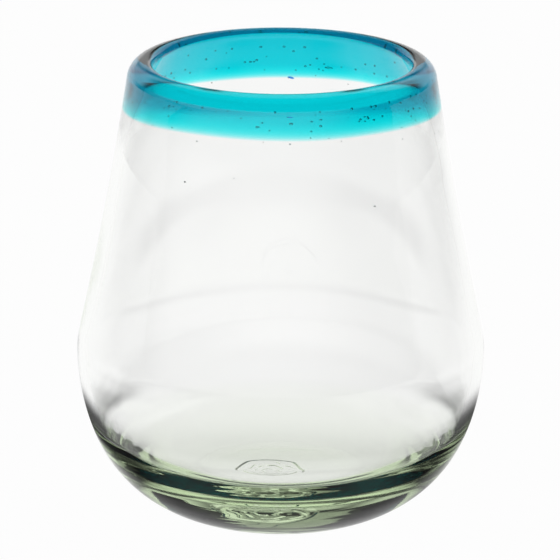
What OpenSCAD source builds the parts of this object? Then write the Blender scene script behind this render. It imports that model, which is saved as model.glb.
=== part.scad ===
// Hand-blown stemless wine glass: a clear bowl on a heavy greenish base, with an aqua lip.
// Millimetres, +Z up, origin in the middle of the face that rests on the table.

/* [Overall] */
// Height from the table to the top of the lip
height = 109; // [102:0.5:116]
// Widest outside diameter, across the belly
belly_d = 96.5; // [92:0.5:102]

/* [Outside curve] */
// Radius of the lower belly, seen from the side
belly_arc = 52.6; // [49:0.2:58]
// Radius of the heel that rolls under to the foot
heel_arc = 31.3; // [28:0.1:34]
// Angle below the widest point at which belly becomes heel
heel_turn = 23.5; // [20:0.5:27]
// How far the heel is flattened to make the foot
foot_cut = 0.6; // [0.4:0.1:1]
// Radius of the soft shoulder above the widest point
shoulder_arc = 19; // [14:1:30]
// Lean of the wall just above the shoulder
lean_low = 12.5; // [11.5:0.1:13.5]
// Lean of the wall just under the lip
lean_high = 9; // [8:0.1:10]

/* [Inside curve] */
// Thickness of the blown wall
wall = 2.4; // [2:0.1:3.2]
// Thickness of the glass under the middle of the floor
floor_t = 10; // [8.5:0.5:11.5]
// Radius of the inside corner between floor and wall
corner_arc = 15; // [13:0.5:18]
// Slope of the dished floor where it meets that corner
floor_turn = 13; // [10:0.5:14]

/* [Lip] */
// Radius of the outer half of the fire-rounded lip
lip_out = 4.4; // [3.8:0.1:5]
// Radius of the inner half of the lip
lip_in = 1.6; // [1.2:0.1:2]
// Lean of the thickened inside face where it leaves the lip
lip_turn = 23; // [20:1:27]

/* [Joins between the gathers] */
// Height of the lower edge of the aqua wrap, just inside the outer face
wrap_z = 98.8; // [97:0.2:100]
// Slope of that feathered edge, rising from the outside to the inside
wrap_slope = 38; // [30:1:46]
// Tilt of that edge, high at the front and low at the back
wrap_tilt = 2.8; // [0:0.2:4]
// Height of the join between the base and the blown bowl
base_z = 16; // [15.5:0.5:20]

/* [Underside] */
// Radius of the hollow pressed into the foot by the pontil rod, at the table
kick_r = 9.2; // [9:0.1:10]
// Radius of the flat top of that hollow
kick_flat = 8.2; // [8:0.1:8.8]
// Depth of that hollow
kick_h = 0.4; // [0.3:0.1:0.8]
// Diameter of the scar left by the pontil rod
pontil_d = 15; // [12:0.5:15.5]
// Gap between the scar and the table
pontil_lift = 0.15; // [0.1:0.05:0.25]
// Distance of the scar and its hollow from the middle, to the left
pontil_off = 2.4; // [0:0.2:3]

/* [Hidden] */
$fn = 96;

// most that the drawn outline strays from its true arcs
sag = 0.01;

function dir(angle) = [cos(angle), sin(angle)];

// points along an arc from one direction to another
function arc(centre, radius, from, to) =
    let (steps = ceil(abs(to - from) / (2 * acos(1 - sag / radius))))
    [for (i = [0:steps]) centre + radius * dir(from + (to - from) * i / steps)];

// outside: foot, heel, belly, shoulder, hollow wall and lip, each arc tangent to the last
heel_z = heel_arc - foot_cut;
belly_z = heel_z + (belly_arc - heel_arc) * sin(heel_turn);
belly_c = [belly_d / 2 - belly_arc, belly_z];
heel_c = belly_c + (belly_arc - heel_arc) * dir(-heel_turn);
foot_r = heel_c.x + sqrt(heel_arc * heel_arc - heel_z * heel_z);
foot_turn = atan2(-heel_z, foot_r - heel_c.x);
shoulder_c = [belly_d / 2 - shoulder_arc, belly_z];
wall_foot = shoulder_c + shoulder_arc * dir(lean_low);
wall_rise = height - lip_out * (1 - sin(lean_high)) - wall_foot.y;
wall_arc = wall_rise / (sin(lean_low) - sin(lean_high));
wall_c = wall_foot + wall_arc * dir(lean_low);
wall_head = wall_c - wall_arc * dir(lean_high);
lip_c = wall_head - lip_out * dir(lean_high);

outside = concat(
    arc(heel_c, heel_arc, foot_turn, -heel_turn),
    arc(belly_c, belly_arc, -heel_turn, 0),
    arc(shoulder_c, shoulder_arc, 0, lean_low),
    arc(wall_c, wall_arc, 180 + lean_low, 180 + lean_high),
    arc(lip_c, lip_out, lean_high, 90)
);

// inside of the lip: a tight arc, then the thickened face, which ends tangent to the wall
in_wall = wall_arc + wall;
lip_in_c = [lip_c.x, height - lip_in];
lip_foot = lip_in_c - lip_in * dir(lip_turn);
to_wall_c = wall_c - lip_foot;
throat_arc = (to_wall_c * to_wall_c - in_wall * in_wall) / (2 * (in_wall - to_wall_c * dir(lip_turn)));
throat_c = lip_foot - throat_arc * dir(lip_turn);
throat_turn = atan2(wall_c.y - throat_c.y, wall_c.x - throat_c.x);

// dished floor: an arc about the axis, with the radius that sets the corner arc tangent to the belly
in_belly = belly_arc - wall;
corner_drop = floor_t + corner_arc - belly_z;
dish = 1 - cos(floor_turn);
square_term = 2 * dish;
linear_term = 2 * corner_drop * dish - 2 * belly_c.x * sin(floor_turn);
fixed_term = pow(belly_c.x, 2) + pow(corner_drop, 2) - pow(in_belly - corner_arc, 2);
floor_less_corner =
    (sqrt(linear_term * linear_term - 4 * square_term * fixed_term) - linear_term) / (2 * square_term);
floor_arc = corner_arc + floor_less_corner;
floor_c = [0, floor_t + floor_arc];
corner_c = floor_c + floor_less_corner * dir(floor_turn - 90);
corner_turn = atan2(corner_c.y - belly_z, corner_c.x - belly_c.x);

inside = concat(
    arc(lip_in_c, lip_in, 90, 180 + lip_turn),
    arc(throat_c, throat_arc, lip_turn, throat_turn),
    arc(wall_c, in_wall, 180 + throat_turn, 180 + lean_low),
    arc(shoulder_c, shoulder_arc - wall, lean_low, 0),
    arc(belly_c, in_belly, 0, corner_turn),
    arc(corner_c, corner_arc, corner_turn, floor_turn - 90),
    arc(floor_c, floor_arc, floor_turn - 90, -90)
);

// radius at which the height of that edge is taken, half a plain wall in from the outer face
mid_wall = wall_arc + wall / 2;
wrap_r = wall_c.x - sqrt(mid_wall * mid_wall - pow(wall_c.y - wrap_z, 2));

// half section of all the glass
module glass_section() {
    polygon(concat([[0, 0]], outside, inside));
}

// half section of the glass between two heights
module glass_band(low, high) {
    intersection() {
        glass_section();
        translate([0, low]) square([belly_d, high - low]);
    }
}

// everything above the feathered edge of the wrap
module above_wrap() {
    feather = wrap_r * tan(wrap_slope);
    translate([0, 0, wrap_z])
        rotate([-wrap_tilt, 0, 0])
            rotate_extrude()
                polygon([[0, feather], [2 * wrap_r, -feather], [2 * wrap_r, height], [0, height]]);
}

// room in the foot, from the flat top of the hollow down to below the table plane
module kick_room() {
    translate([-pontil_off, 0, 0])
        rotate_extrude() polygon([[0, kick_h], [kick_flat, kick_h], [kick_r, 0], [kick_r, -1], [0, -1]]);
}

// aqua glass wound on hot round the mouth and fire-rounded into the lip
module rim_wrap() {
    color([0.0, 0.75, 0.86])
        intersection() {
            rotate_extrude() glass_section();
            above_wrap();
        }
}

// clear blown wall, from the base up to the wrap
module bowl_wall() {
    color([0.93, 0.95, 0.94])
        difference() {
            rotate_extrude() glass_band(base_z, height);
            above_wrap();
        }
}

// thick greenish bottom with the dished floor on top and the hollow underneath
module heavy_base() {
    color([0.66, 0.74, 0.56])
        difference() {
            rotate_extrude() glass_band(0, base_z);
            kick_room();
        }
}

// button of glass left in the hollow where the pontil rod was broken off
module pontil_mark() {
    color([0.72, 0.78, 0.64])
        translate([-pontil_off, 0, pontil_lift]) cylinder(d = pontil_d, h = kick_h - pontil_lift);
}

rim_wrap();
bowl_wall();
heavy_base();
pontil_mark();
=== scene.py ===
import random
from math import asin, atan2, ceil, copysign, cos, exp, hypot, pi, radians, sin, sqrt, tan

import bmesh
import bpy
from mathutils import Matrix, Vector, noise


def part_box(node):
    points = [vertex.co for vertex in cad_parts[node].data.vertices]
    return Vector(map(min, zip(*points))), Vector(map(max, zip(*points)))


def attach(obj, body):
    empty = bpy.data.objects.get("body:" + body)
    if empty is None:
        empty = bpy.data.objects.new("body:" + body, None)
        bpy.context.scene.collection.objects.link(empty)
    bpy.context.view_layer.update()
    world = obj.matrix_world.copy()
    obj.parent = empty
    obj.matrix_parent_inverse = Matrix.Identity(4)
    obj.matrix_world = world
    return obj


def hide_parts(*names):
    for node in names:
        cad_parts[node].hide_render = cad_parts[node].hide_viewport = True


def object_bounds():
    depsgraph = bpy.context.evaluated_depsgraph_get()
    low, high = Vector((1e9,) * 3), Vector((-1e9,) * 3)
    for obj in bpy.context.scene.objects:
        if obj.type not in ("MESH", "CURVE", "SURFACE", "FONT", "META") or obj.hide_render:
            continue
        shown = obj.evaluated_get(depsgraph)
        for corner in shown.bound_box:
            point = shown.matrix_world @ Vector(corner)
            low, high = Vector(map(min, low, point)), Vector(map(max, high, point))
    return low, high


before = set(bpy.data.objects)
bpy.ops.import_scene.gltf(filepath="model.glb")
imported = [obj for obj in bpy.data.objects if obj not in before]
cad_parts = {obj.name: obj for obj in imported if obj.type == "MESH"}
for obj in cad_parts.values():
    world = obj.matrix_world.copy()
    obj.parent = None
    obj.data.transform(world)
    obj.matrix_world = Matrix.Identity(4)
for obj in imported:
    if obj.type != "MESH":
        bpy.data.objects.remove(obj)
cad_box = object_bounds()

# Heavy base
# The last of the hot gather, left thick at the bottom of the blown bubble and set down to flatten its
# foot. Recycled bottle glass: colourless in the thin wall, olive green through this thickness. The pontil
# rod pressed a small hollow into the foot.

MM = 0.001
GLASS_BEND, FUSED_BEND = 1.52, 1.0
ROUND_STEPS = 192
RING_PITCH, HEEL_PITCH = 0.9, 0.5
SEAM_RING, SEAM_GAP = 0.06, 0.002
SAME_POINT, SAME_LINE = 0.002, 0.01

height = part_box("rim_wrap")[1].z / MM
belly_r = cad_box[1].x / MM
join_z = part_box("heavy_base")[1].z / MM
belly_arc, heel_arc, heel_turn = 52.6, 31.3, radians(23.5)
foot_cut, kick_r, kick_flat, kick_h = 0.6, 9.2, 8.2, 0.4
wall, floor_t, corner_arc, floor_turn = 2.4, 10.0, 15.0, radians(13)


def on_arc(centre, radius, turn):
    return Vector((centre[0] + radius * cos(turn), centre[1] + radius * sin(turn)))


heel_z = heel_arc - foot_cut
belly_c = Vector((belly_r - belly_arc, heel_z + (belly_arc - heel_arc) * sin(heel_turn)))
heel_c = on_arc(belly_c, belly_arc - heel_arc, -heel_turn)
foot_turn = atan2(-heel_z, sqrt(heel_arc ** 2 - heel_z ** 2))
heel_join = asin((join_z - heel_c.y) / heel_arc)

# the dished floor's radius is the one that sets the corner arc tangent to the belly
in_belly = belly_arc - wall
corner_drop = floor_t + corner_arc - belly_c.y
dish = 1 - cos(floor_turn)
linear_term = 2 * corner_drop * dish - 2 * belly_c.x * sin(floor_turn)
fixed_term = belly_c.x ** 2 + corner_drop ** 2 - (in_belly - corner_arc) ** 2
floor_less_corner = (sqrt(linear_term ** 2 - 8 * dish * fixed_term) - linear_term) / (4 * dish)
floor_arc = corner_arc + floor_less_corner
floor_c = Vector((0, floor_t + floor_arc))
corner_c = on_arc(floor_c, floor_less_corner, floor_turn - pi / 2)
corner_turn = atan2(corner_c.y - belly_c.y, corner_c.x - belly_c.x)
corner_join = asin((join_z - corner_c.y) / corner_arc)
base_line = (on_arc(heel_c, heel_arc, heel_join), on_arc(corner_c, corner_arc, corner_join))


def new_section():
    """An empty half section. Its points know their face of the glass, and its faces how they bend light."""
    bm = bmesh.new()
    bm.verts.layers.float.new("inside")
    bm.faces.layers.float.new("bend")
    return bm


def add_arc(bm, centre, radius, start, end, inside=0.0, pitch=RING_PITCH, to_seam=False):
    """Draws one arc of a half section in the XZ plane, by turning a point about the arc's centre.

    An arc that ends at a seam has thin rings there, so that its smooth shading stays true up to the join.
    """
    turns = [start, end]
    if to_seam:
        turns.insert(1, end - copysign(SEAM_RING / radius, end - start))
    for low, high in zip(turns, turns[1:]):
        tip = on_arc(centre, radius, low)
        point = bm.verts.new((tip.x, 0, tip.y))
        point[bm.verts.layers.float["inside"]] = inside
        steps = max(2, ceil(abs(high - low) * radius / pitch))
        middle = (centre[0], 0, centre[1])
        bmesh.ops.spin(bm, geom=[point], cent=middle, axis=(0, -1, 0), angle=high - low, steps=steps)


def add_line(bm, start, end, inside=(0.0, 0.0)):
    """Draws one straight stretch of a half section."""
    ends = [bm.verts.new((p[0], 0, p[1])) for p in (start, end)]
    for point, side in zip(ends, inside):
        point[bm.verts.layers.float["inside"]] = side
    bm.edges.new(ends)


def on_line(line):
    """Tests whether a point of the half section lies on the line through two others."""
    way = (line[1] - line[0]).normalized()
    return lambda p: abs(way.x * (p.y - line[0].y) - way.y * (p.x - line[0].x)) < SAME_LINE


def ease(value, low, high):
    """A smooth step from 0 at low to 1 at high."""
    t = min(max((value - low) / (high - low), 0), 1)
    return t * t * (3 - 2 * t)


def uneven(turn, pace, seed):
    """A smooth uneven course round the glass, which closes on itself."""
    return noise.noise(Vector((pace * cos(turn), pace * sin(turn), seed)))


# what the hand left, in millimetres: the wrap's and the hollow's wavering edges, the wall's swells, the
# rings of the tool at the heel and the scar of the rod
wrap_tilt, wrap_lean, wrap_waver = radians(2.8), radians(9.5), 0.5
swell, swell_inside, swell_pitch = 0.05, 0.09, 24.0
tool_ring, tool_ring_pitch = 0.012, 3.1
hollow_waver, scar_off, scar_r, scar_flat, scar_thick = 0.8, 2.4, 7.5, 6.4, 0.22
ridge_height, ridge_width, ridge_bend, ridge_limit = 0.17, 0.3, 1.4, 0.8
# heights over which they come up or die away
edge_begins, edge_ends, lip_evens = (84, 96), (101, 107.5), (100, 107)
foot_ends, tool_rings_end = (0, 6), (24, 40)


def scar_depth(r):
    """Thickness of the button of glass that the rod left, which thins out at its edge."""
    return scar_thick * (1 - ease(r, scar_flat, scar_r))


def by_hand(p, inside):
    """Moves a point of the true turned shape to where hand work left it, in millimetres.

    inside is 0 on the outer face, 1 on the inner face and -1 on the broken face of the scar.
    """
    r, turn = hypot(p.x, p.y), atan2(p.y, p.x)
    # the wrap was laid on a little askew, and its edge wavers
    near_edge = ease(p.z, *edge_begins) * (1 - ease(p.z, *edge_ends))
    slide = near_edge * (wrap_waver * uneven(turn, 1.6, 4) - sin(wrap_tilt) * p.y)
    # blown walls are never quite even, and the inside is less even than the outside
    within = max(inside, 0)
    bulge = noise.noise(p / swell_pitch + Vector((9 * within, 0, 0)))
    even_lip = 1 - ease(p.z, *lip_evens)
    off_foot = max(within, ease(p.z, *foot_ends))
    push = (swell + swell_inside * within) * bulge * even_lip * off_foot
    # tooling left faint rings round the heel
    rings = sin(2 * pi * p.z / tool_ring_pitch + 2.5 * noise.noise(p / 30)) * (0.5 + noise.noise(p / 18))
    push += tool_ring * rings * (1 - ease(p.z, *tool_rings_end)) * off_foot * (1 - within)
    grow = 1 + (push - slide * tan(wrap_lean)) / max(r, 1)
    # the rod was set off centre, and the edge of its hollow wavers
    low = 1 - ease(p.z, kick_h, kick_h + 2)
    under = low * (1 - ease(r, kick_r + 1, kick_r + 8))
    round_rod = low * ease(r, scar_r, kick_flat) * (1 - ease(r, kick_r + 1, kick_r + 4))
    grow += hollow_waver * uneven(turn, 1.2, 6) * round_rod / max(r, 1)
    # it broke away in curved ridges
    ridges = 0
    if inside < 0:
        for ridge_r, seed in ((6.0, 2), (4.2, 5), (2.4, 8)):
            bent_r = ridge_r + ridge_bend * uneven(turn, 1.3, seed)
            there = ease(uneven(turn, 1.7, seed + 1), -0.25, 0.15)
            ridges += ridge_height * there * exp(-((r - bent_r) / ridge_width) ** 2)
        ridges = min(ridges, ridge_limit * scar_depth(r))
    return Vector((p.x * grow - scar_off * under, p.y * grow, p.z + slide + ridges))


def glass_object(name, bm):
    """Makes an object of a shape drawn in millimetres, on the glass's one body."""
    bmesh.ops.scale(bm, vec=(MM, MM, MM), verts=bm.verts)
    mesh = bpy.data.meshes.new(name)
    bm.to_mesh(mesh)
    bm.free()
    piece = bpy.data.objects.new(name, mesh)
    bpy.context.scene.collection.objects.link(piece)
    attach(piece, "root")
    return piece


def spun_piece(name, section, fused, bubbles=()):
    """Turns a half section into a piece of glass.

    Faces that are fused to the next piece bend no light and stand a hair back from it. Each bubble is a
    small closed hollow, given as a matrix that places and stretches a ball, with its faces turned inwards.
    """
    inside = section.verts.layers.float["inside"]
    bend = section.faces.layers.float["bend"]
    bmesh.ops.remove_doubles(section, verts=section.verts, dist=SAME_POINT)
    bmesh.ops.spin(
        section, geom=section.verts[:] + section.edges[:], cent=(0, 0, 0), axis=(0, 0, 1), angle=2 * pi,
        steps=ROUND_STEPS, use_merge=True
    )
    bmesh.ops.remove_doubles(section, verts=section.verts, dist=SAME_POINT)
    bmesh.ops.recalc_face_normals(section, faces=section.faces)
    for face in section.faces:
        face.smooth = True
        painted_levels = [Vector((hypot(v.co.x, v.co.y), v.co.z)) for v in face.verts]
        face[bend] = FUSED_BEND if any(all(map(lies_on, painted_levels)) for lies_on in fused) else GLASS_BEND
    for edge in section.edges:
        edge.smooth = len({face[bend] for face in edge.link_faces}) == 1
    for vert in section.verts:
        vert.co = by_hand(vert.co, vert[inside])
    section.normal_update()
    for vert in section.verts:
        joins = [face.normal for face in vert.link_faces if face[bend] == FUSED_BEND]
        if joins:
            vert.co -= SEAM_GAP * sum(joins, Vector()).normalized()
    for bubble in bubbles:
        ball = bmesh.ops.create_icosphere(section, subdivisions=2, radius=0.5, matrix=bubble)["verts"]
        skin = {face for vert in ball for face in vert.link_faces}
        bmesh.ops.reverse_faces(section, faces=list(skin))
        for face in skin:
            face.smooth = True
            face[bend] = GLASS_BEND
    return glass_object(name, section)


def linear(hex_colour):
    """sRGB hex to linear RGBA."""
    parts = [int(hex_colour[i:i + 2], 16) / 255 for i in (1, 3, 5)]
    return [c / 12.92 if c <= 0.04045 else ((c + 0.055) / 1.055) ** 2.4 for c in parts] + [1]


def add_node(tree, kind, inputs=(), **settings):
    """Adds a shader node, sets its values and links its sockets."""
    made = tree.nodes.new(kind)
    for key, value in settings.items():
        setattr(made, key, value)
    for socket, value in dict(inputs).items():
        if isinstance(value, bpy.types.NodeSocket):
            tree.links.new(value, made.inputs[socket])
        else:
            made.inputs[socket].default_value = value
    return made


wave_pitch, wave_height = 14 * MM, 0.05 * MM


def blown_glass(name, tint, strength, shine=0.5):
    """Polished glass with the faint waves of blowing, coloured through its depth.

    It gives the eye bright bent edges, and a colour that deepens with the thickness looked through.
    """
    material = bpy.data.materials.new(name)
    material.use_nodes = True
    tree = material.node_tree
    tree.nodes.clear()
    place = add_node(tree, "ShaderNodeTexCoord")
    waves = add_node(tree, "ShaderNodeTexNoise", {
        "Vector": place.outputs["Object"], "Scale": 1 / wave_pitch, "Detail": 2
    })
    bump = add_node(tree, "ShaderNodeBump", {
        "Strength": 0.25, "Distance": wave_height, "Height": waves.outputs["Fac"]
    })
    bend = add_node(tree, "ShaderNodeAttribute", attribute_name="bend")
    surface = add_node(tree, "ShaderNodeBsdfPrincipled", {
        "Base Color": linear("#ffffff"), "Roughness": 0.0, "IOR": bend.outputs["Fac"],
        "Transmission Weight": 1.0, "Specular IOR Level": shine, "Normal": bump.outputs["Normal"]
    })
    depth = add_node(tree, "ShaderNodeVolumeAbsorption", {"Color": tint, "Density": strength})
    add_node(tree, "ShaderNodeOutputMaterial", {"Surface": surface.outputs[0], "Volume": depth.outputs[0]})
    return material


# a grey-green that the eye meets only where it looks through several centimetres of it
base_glass = blown_glass("recycled_bottle_glass_thick", linear("#b5dd6f"), 10)

# the underside runs from the scar down the side of the hollow and out over the flat of the foot
side_steps = (0, 0.04, 0.2, 0.5, 0.8, 0.96, 1)
foot_rings = (0.1, 1, 3, 5, 8)
hollow_top = [(0, kick_h), (scar_r, kick_h), (kick_flat - 0.1, kick_h)]
hollow_side = [(kick_flat + (kick_r - kick_flat) * t, kick_h * (1 - ease(t, 0, 1))) for t in side_steps]
foot = [(kick_r + spread, 0) for spread in foot_rings] + [on_arc(heel_c, heel_arc, foot_turn)]
underside = hollow_top + hollow_side + foot

section = new_section()
for start, end in zip(underside, underside[1:]):
    add_line(section, start, end)
add_arc(section, heel_c, heel_arc, foot_turn, heel_join, pitch=HEEL_PITCH, to_seam=True)
add_line(section, *base_line, inside=(0, 1))
add_arc(section, corner_c, corner_arc, floor_turn - pi / 2, corner_join, inside=1, to_seam=True)
add_arc(section, floor_c, floor_arc, floor_turn - pi / 2, -pi / 2, inside=1)


def on_scar(p):
    return p.x < scar_r + SAME_LINE and abs(p.y - kick_h) < SAME_LINE


heavy_base = spun_piece("heavy_base_glass", section, [on_line(base_line), on_scar])
heavy_base.data.materials.append(base_glass)
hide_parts("heavy_base")

# Bowl wall
# The blown bubble itself: one clear wall 2.4 mm thick, swung and rolled to a round belly and a slightly
# hollow taper. It runs on from the base with no seam that the eye can find.

WALL_PITCH = 1.5

shoulder_arc, lean_low, lean_high = 19.0, radians(12.5), radians(9)
lip_out, lip_in, lip_turn = 4.4, 1.6, radians(23)
wrap_out_z, wrap_in_z = 97.8, 101.4

# the lip is worked out here too, because the wall's inside face ends tangent to the lip's thickened one
shoulder_c = Vector((belly_r - shoulder_arc, belly_c.y))
wall_foot = on_arc(shoulder_c, shoulder_arc, lean_low)
wall_rise = height - lip_out * (1 - sin(lean_high)) - wall_foot.y
wall_arc = wall_rise / (sin(lean_low) - sin(lean_high))
wall_c = on_arc(wall_foot, wall_arc, lean_low)
lip_c = on_arc(wall_c, wall_arc + lip_out, pi + lean_high)
in_wall = wall_arc + wall
lip_in_c = Vector((lip_c.x, height - lip_in))
lip_foot = on_arc(lip_in_c, lip_in, pi + lip_turn)
to_wall_c = wall_c - lip_foot
lip_way = on_arc((0, 0), 1, lip_turn)
throat_arc = (to_wall_c.length_squared - in_wall ** 2) / (2 * (in_wall - to_wall_c.dot(lip_way)))
throat_c = lip_foot - throat_arc * lip_way
throat_turn = atan2(wall_c.y - throat_c.y, wall_c.x - throat_c.x)
wrap_out_turn = pi + asin((wall_c.y - wrap_out_z) / wall_arc)
wrap_in_turn = asin((wrap_in_z - throat_c.y) / throat_arc)
wrap_line = (on_arc(wall_c, wall_arc, wrap_out_turn), on_arc(throat_c, throat_arc, wrap_in_turn))

section = new_section()
add_arc(section, heel_c, heel_arc, -heel_turn, heel_join, pitch=HEEL_PITCH, to_seam=True)
add_arc(section, belly_c, belly_arc, -heel_turn, 0)
add_arc(section, shoulder_c, shoulder_arc, 0, lean_low)
add_arc(section, wall_c, wall_arc, pi + lean_low, wrap_out_turn, pitch=WALL_PITCH, to_seam=True)
add_line(section, *wrap_line, inside=(0, 1))
add_arc(section, throat_c, throat_arc, throat_turn, wrap_in_turn, inside=1, to_seam=True)
add_arc(section, wall_c, in_wall, pi + throat_turn, pi + lean_low, inside=1, pitch=WALL_PITCH)
add_arc(section, shoulder_c, shoulder_arc - wall, lean_low, 0, inside=1)
add_arc(section, belly_c, in_belly, 0, corner_turn, inside=1)
add_arc(section, corner_c, corner_arc, corner_turn, corner_join, inside=1, to_seam=True)
add_line(section, *base_line, inside=(0, 1))


def in_the_wall(turn, z, depth):
    """A point of the upper wall, at a share of its thickness from outside, where hand work left it."""
    layer = wall_arc + depth * wall
    r = wall_c.x - sqrt(layer ** 2 - (wall_c.y - z) ** 2)
    return by_hand(Vector((r * cos(turn), r * sin(turn), z)), depth)


def bubble_at(turn, z, depth, length, width, lean=0.0):
    """A bubble drawn out round the wall."""
    along = Matrix.Rotation(turn + pi / 2, 4, "Z") @ Matrix.Rotation(lean, 4, "Y")
    stretch = Matrix.Diagonal((length, width, width, 1))
    return Matrix.Translation(in_the_wall(turn, z, depth)) @ along @ stretch


def wrap_z(depth):
    """Height of the join with the wrap, at a share of the wall's thickness from outside."""
    return wrap_out_z + depth * (wrap_in_z - wrap_out_z)


# seeds: fine air bubbles that the recycled melt never lost, most of them near the join with the wrap
seed_count, seed_size, seed_stretch, seed_depth = 26, (0.2, 0.4), (1, 1.6), (0.3, 0.7)
off_join, seed_spread, lowest_seed = 0.9, 2.5, 80
chance = random.Random(11)
seeds = []
for _ in range(seed_count):
    depth = chance.uniform(*seed_depth)
    z = wrap_z(depth) - off_join - chance.expovariate(1 / seed_spread)
    size = chance.uniform(*seed_size)
    turn = chance.uniform(0, 2 * pi)
    length = size * chance.uniform(*seed_stretch)
    seeds.append(bubble_at(turn, max(z, lowest_seed), depth, length, size))

# colourless to the eye, with the least green where the wall is seen edge on
clear_glass = blown_glass("recycled_bottle_glass_blown_thin", linear("#7caa00"), 5)
bowl_wall = spun_piece("bowl_wall_glass", section, [on_line(base_line), on_line(wrap_line)], seeds)
bowl_wall.data.materials.append(clear_glass)
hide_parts("bowl_wall")

# Rim wrap
# Aqua glass wound on hot round the mouth, fused to the wall along a feathered edge and melted back in
# the fire to a round, thickened lip.

LIP_PITCH, LIP_IN_PITCH = 0.3, 0.2

section = new_section()
add_arc(section, wall_c, wall_arc, pi + lean_high, wrap_out_turn, to_seam=True)
add_arc(section, lip_c, lip_out, lean_high, pi / 2, pitch=LIP_PITCH)
add_arc(section, lip_in_c, lip_in, pi / 2, pi + lip_turn, inside=1, pitch=LIP_IN_PITCH)
add_arc(section, throat_c, throat_arc, lip_turn, wrap_in_turn, inside=1, to_seam=True)
add_line(section, *wrap_line, inside=(0, 1))

# more seeds, thickest at the right of the front and at the back, and one long bubble at the back
seed_count, seed_size, seed_stretch = 90, (0.3, 0.6), (1, 1.5)
off_join, seed_spread, highest_seed = 0.8, 2.2, 105
right_of_front, at_back = (radians(-52), 0.45), (radians(105), 0.5)
bubble_turn, bubble_z, bubble_depth, bubble_long, bubble_wide = radians(71), 100.9, 0.5, 2.2, 0.6
seeds = [bubble_at(bubble_turn, bubble_z, bubble_depth, bubble_long, bubble_wide)]
for _ in range(seed_count):
    depth = chance.uniform(*seed_depth)
    turns = chance.uniform(0, 2 * pi), chance.gauss(*right_of_front), chance.gauss(*at_back)
    turn = chance.choice(turns)
    z = wrap_z(depth) + off_join + chance.expovariate(1 / seed_spread)
    size = chance.uniform(*seed_size)
    length = size * chance.uniform(*seed_stretch)
    seeds.append(bubble_at(turn, min(z, highest_seed), depth, length, size))

# strong clear aqua: bright where the wrap is thin, dark teal along the thick lip, with little shine over it
aqua_glass = blown_glass("aqua_glass_fire_polished", linear("#00f9fb"), 1800, shine=0.05)
rim_wrap = spun_piece("rim_wrap_glass", section, [on_line(wrap_line)], seeds)
rim_wrap.data.materials.append(aqua_glass)
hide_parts("rim_wrap")

# Blue fleck
# A crumb of cobalt glass that stuck to the gather and stayed in the clear wall, just under the wrap at
# the back of the bowl.

fleck_turn, fleck_z, fleck_depth = radians(86.5), 97.9, 0.5
fleck_long, fleck_wide, fleck_lean = 1.8, 0.6, radians(-14)
fleck_place = bubble_at(fleck_turn, fleck_z, fleck_depth, fleck_long, fleck_wide, fleck_lean)
section = new_section()
bmesh.ops.create_icosphere(section, subdivisions=3, radius=0.5, matrix=fleck_place)
for face in section.faces:
    face.smooth = True
    face[section.faces.layers.float["bend"]] = FUSED_BEND

# a speck of dark blue
cobalt_glass = blown_glass("cobalt_glass_crumb", linear("#00bcf3"), 5000)
fleck = glass_object("blue_fleck_glass", section)
fleck.data.materials.append(cobalt_glass)

# Pontil mark
# The scar in the hollow of the foot where the pontil rod was cracked off: a low button of the same
# glass, broken in shell-like rings.

SCAR_PITCH = 0.15

section = new_section()
add_line(section, (0, kick_h), (scar_r, kick_h))
ring_r = [SCAR_PITCH * ring for ring in range(round(scar_r / SCAR_PITCH) + 1)]
broken_face = [(r, kick_h - scar_depth(r)) for r in ring_r]
for start, end in zip(broken_face, broken_face[1:]):
    add_line(section, start, end, inside=(-1, -1))
pontil_mark = spun_piece("pontil_mark_glass", section, [on_scar])
pontil_mark.data.materials.append(base_glass)
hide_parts("pontil_mark")

# Table, backdrop and light
# A plain white table lit from behind, in a dim studio with a soft glow from the front left. In the glass
# and through it the table's glow is painted dimmer in front and at the sides. A painted dark shade lies
# round the glass but for the back, standing in for the dark screens that studios set there to draw the
# edges of clear glass.

table_r, table_gap = 4.0, 0.05 * MM
bm = bmesh.new()
bmesh.ops.create_circle(bm, cap_ends=True, segments=96, radius=table_r)
bmesh.ops.translate(bm, vec=(0, 0, -table_gap), verts=bm.verts)
table_mesh = bpy.data.meshes.new("table")
bm.to_mesh(table_mesh)
bm.free()
table = bpy.data.objects.new("table", table_mesh)
bpy.context.scene.collection.objects.link(table)

# plain matt white to the camera, with nothing on it to draw the eye; the glass shows its glow with painted
# light and shade
white = bpy.data.materials.new("white_table")
white.use_nodes = True
tree = white.node_tree
tree.nodes.clear()
place = add_node(tree, "ShaderNodeTexCoord").outputs["Object"]
reach = add_node(tree, "ShaderNodeVectorMath", {0: place}, operation="LENGTH").outputs["Value"]
turn = add_node(tree, "ShaderNodeVectorMath", {0: place}, operation="NORMALIZE").outputs[0]
# the table's glow is painted brightest toward this way, behind the glass
painted_light_way = (-0.158, 0.987, 0)
behind = add_node(tree, "ShaderNodeVectorMath", {0: turn, 1: painted_light_way}, operation="DOT_PRODUCT")

# each level of the painted light and shade in the table's glow runs from one brightness to another, across
# the table or round the glass
painted_levels = {}
for name, along, low, high, start, end in (
    ("in front", reach, 40 * MM, 75 * MM, 0.45, 0.75),
    ("near", behind.outputs["Value"], -0.3, 0.6, "in front", 1.0),
    ("far side", behind.outputs["Value"], -0.9, -0.4, 0.7, 0.45),
    ("far", behind.outputs["Value"], 0.4, 0.85, "far side", 1.0),
    ("open table", reach, 0.2, 0.7, "near", "far"),
    ("table", reach, 15 * MM, 40 * MM, 0.9, "open table"),
):
    blend = add_node(tree, "ShaderNodeMapRange", {
        "Value": along, "From Min": low, "From Max": high,
        "To Min": painted_levels.get(start, start), "To Max": painted_levels.get(end, end)
    }, interpolation_type="SMOOTHSTEP")
    painted_levels[name] = blend.outputs[0]
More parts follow.
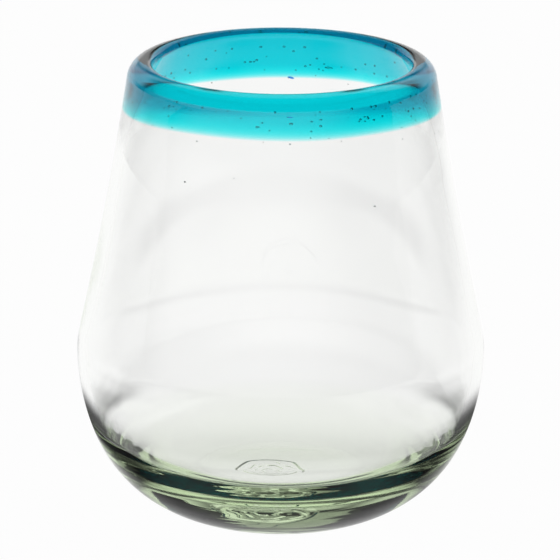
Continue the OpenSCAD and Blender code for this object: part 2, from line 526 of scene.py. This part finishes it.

# the painted shade is a ring about a spot behind the glass, open at the back and thinner in front, where
# dark screens would stand
painted_shade_c = (0, 20 * MM, 0)
around = add_node(tree, "ShaderNodeVectorMath", {0: place, 1: painted_shade_c}, operation="SUBTRACT").outputs[0]
ring = add_node(tree, "ShaderNodeVectorMath", {0: around}, operation="LENGTH").outputs["Value"]
around = add_node(tree, "ShaderNodeVectorMath", {0: around}, operation="NORMALIZE").outputs[0]
away = add_node(tree, "ShaderNodeSeparateXYZ", {0: around}).outputs["Y"]
painted_shade = 0.92
for along, low, high, start, end in (
    (ring, 48 * MM, 60 * MM, 0.0, 1.0),
    (ring, 70 * MM, 92 * MM, 1.0, 0.0),
    (away, 0.5, 0.85, 1.0, 0.0),
    (away, -1.0, -0.6, 0.4, 1.0),
):
    fade = add_node(tree, "ShaderNodeMapRange", {
        "Value": along, "From Min": low, "From Max": high, "To Min": start, "To Max": end
    }, interpolation_type="SMOOTHSTEP").outputs[0]
    painted_shade = add_node(tree, "ShaderNodeMath", {0: fade, 1: painted_shade}, operation="MULTIPLY").outputs[0]
# what the painted shade leaves of the table's glow
clear = add_node(tree, "ShaderNodeMath", {0: 1.0, 1: painted_shade}, operation="SUBTRACT").outputs[0]
level = add_node(tree, "ShaderNodeMath", {0: painted_levels["table"], 1: clear}, operation="MULTIPLY").outputs[0]

# to the camera the table is white, and the share of it that doesn't glow takes the shadow
glow_share = 0.98
ray = add_node(tree, "ShaderNodeLightPath").outputs
level = add_node(tree, "ShaderNodeMath", {0: level, 1: ray["Is Camera Ray"]}, operation="MAXIMUM")
seen = ray["Is Camera Ray"]
for kind in ("Is Glossy Ray", "Is Transmission Ray"):
    seen = add_node(tree, "ShaderNodeMath", {0: seen, 1: ray[kind]}, operation="MAXIMUM").outputs[0]
share = add_node(tree, "ShaderNodeMath", {0: seen, 1: glow_share}, operation="MULTIPLY")
matt = add_node(tree, "ShaderNodeBsdfDiffuse", {"Color": linear("#f3f3f3")})
glow = add_node(tree, "ShaderNodeEmission", {"Color": linear("#ffffff"), "Strength": level.outputs[0]})
both = add_node(tree, "ShaderNodeMixShader", {0: share.outputs[0], 1: matt.outputs[0], 2: glow.outputs[0]})
add_node(tree, "ShaderNodeOutputMaterial", {"Surface": both.outputs[0]})
table_mesh.materials.append(white)

world = bpy.data.worlds.new("studio")
bpy.context.scene.world = world
world.use_nodes = True
tree = world.node_tree
tree.nodes.clear()
way = add_node(tree, "ShaderNodeTexCoord").outputs["Generated"]
rise = add_node(tree, "ShaderNodeSeparateXYZ", {0: way}).outputs["Z"]
turn = add_node(tree, "ShaderNodeVectorMath", {0: way, 1: (1, 1, 0)}, operation="MULTIPLY")
turn = add_node(tree, "ShaderNodeVectorMath", {0: turn.outputs[0]}, operation="NORMALIZE").outputs[0]
to_front_left, to_back = (-0.5, -0.866, 0), (0, 1, 0)
to_back_left, to_back_right = (-0.545, 0.839, 0), (0.545, 0.839, 0)
level = 0.03
# each glow has its direction, the cosines over which it comes up round the room, its strength, and the
# sines of the elevations between which it rises and those between which it dies away
for glow_way, (faint, full), strength, risen, gone in (
    # a wide low window
    (to_front_left, (-0.1, 1.0), 0.8, (-0.04, 0.03), (0.14, 0.36)),
    # a white backdrop, with a bright middle above it
    (to_back, (0.6, 0.86), 0.95, (-0.2, -0.1), (0.12, 0.2)),
    (to_back, (0.97, 0.99), 0.65, (0.12, 0.2), (0.27, 0.36)),
    # a tall strip light at each side of the backdrop
    (to_back_left, (0.92, 0.985), 0.75, (0.12, 0.2), (0.4, 0.6)),
    (to_back_right, (0.92, 0.985), 0.85, (0.12, 0.2), (0.65, 0.85)),
    # a dim light high up
    (to_back, (0.85, 0.95), 0.4, (0.4, 0.6), (0.88, 0.97)),
):
    facing = add_node(tree, "ShaderNodeVectorMath", {0: turn, 1: glow_way}, operation="DOT_PRODUCT")
    glow = add_node(tree, "ShaderNodeMapRange", {
        "Value": facing.outputs["Value"], "From Min": faint, "From Max": full,
        "To Min": 0.0, "To Max": strength
    }, interpolation_type="SMOOTHSTEP").outputs[0]
    for (low, high), start, end in ((risen, 0.0, 1.0), (gone, 1.0, 0.0)):
        edge = add_node(tree, "ShaderNodeMapRange", {
            "Value": rise, "From Min": low, "From Max": high, "To Min": start, "To Max": end
        }, interpolation_type="SMOOTHSTEP").outputs[0]
        glow = add_node(tree, "ShaderNodeMath", {0: glow, 1: edge}, operation="MULTIPLY").outputs[0]
    level = add_node(tree, "ShaderNodeMath", {0: glow, 1: level}, operation="ADD").outputs[0]
sky = add_node(tree, "ShaderNodeBackground", {"Color": linear("#ffffff"), "Strength": level})
add_node(tree, "ShaderNodeOutputWorld", {"Surface": sky.outputs[0]})

# Camera
# A long lens a little above the glass, looking down at its middle and not held quite level. Light may
# cross many faces of the glass on its way to it.

camera_back, camera_tilt, camera_roll = 900.0, radians(17.31), radians(0.28)
look_x, look_z = -0.24, 55.5
focal_px, frame_px, sensor = 3811.0, 560.0, 36.0
bounces = 32

camera_data = bpy.data.cameras.new("camera")
camera_data.sensor_width = sensor
camera_data.lens = focal_px / frame_px * sensor
camera = bpy.data.objects.new("camera", camera_data)
bpy.context.scene.collection.objects.link(camera)
camera_z = look_z + camera_back * sin(camera_tilt)
camera.location = Vector((look_x, -camera_back * cos(camera_tilt), camera_z)) * MM
looking = Matrix.Rotation(pi / 2 - camera_tilt, 3, "X") @ Matrix.Rotation(camera_roll, 3, "Z")
camera.rotation_euler = looking.to_euler()
bpy.context.scene.camera = camera
bpy.context.scene.view_settings.view_transform = "Standard"
bpy.context.scene.cycles.max_bounces = bounces
bpy.context.scene.cycles.glossy_bounces = bounces
bpy.context.scene.cycles.transmission_bounces = bounces
bpy.context.scene.cycles.transparent_max_bounces = bounces
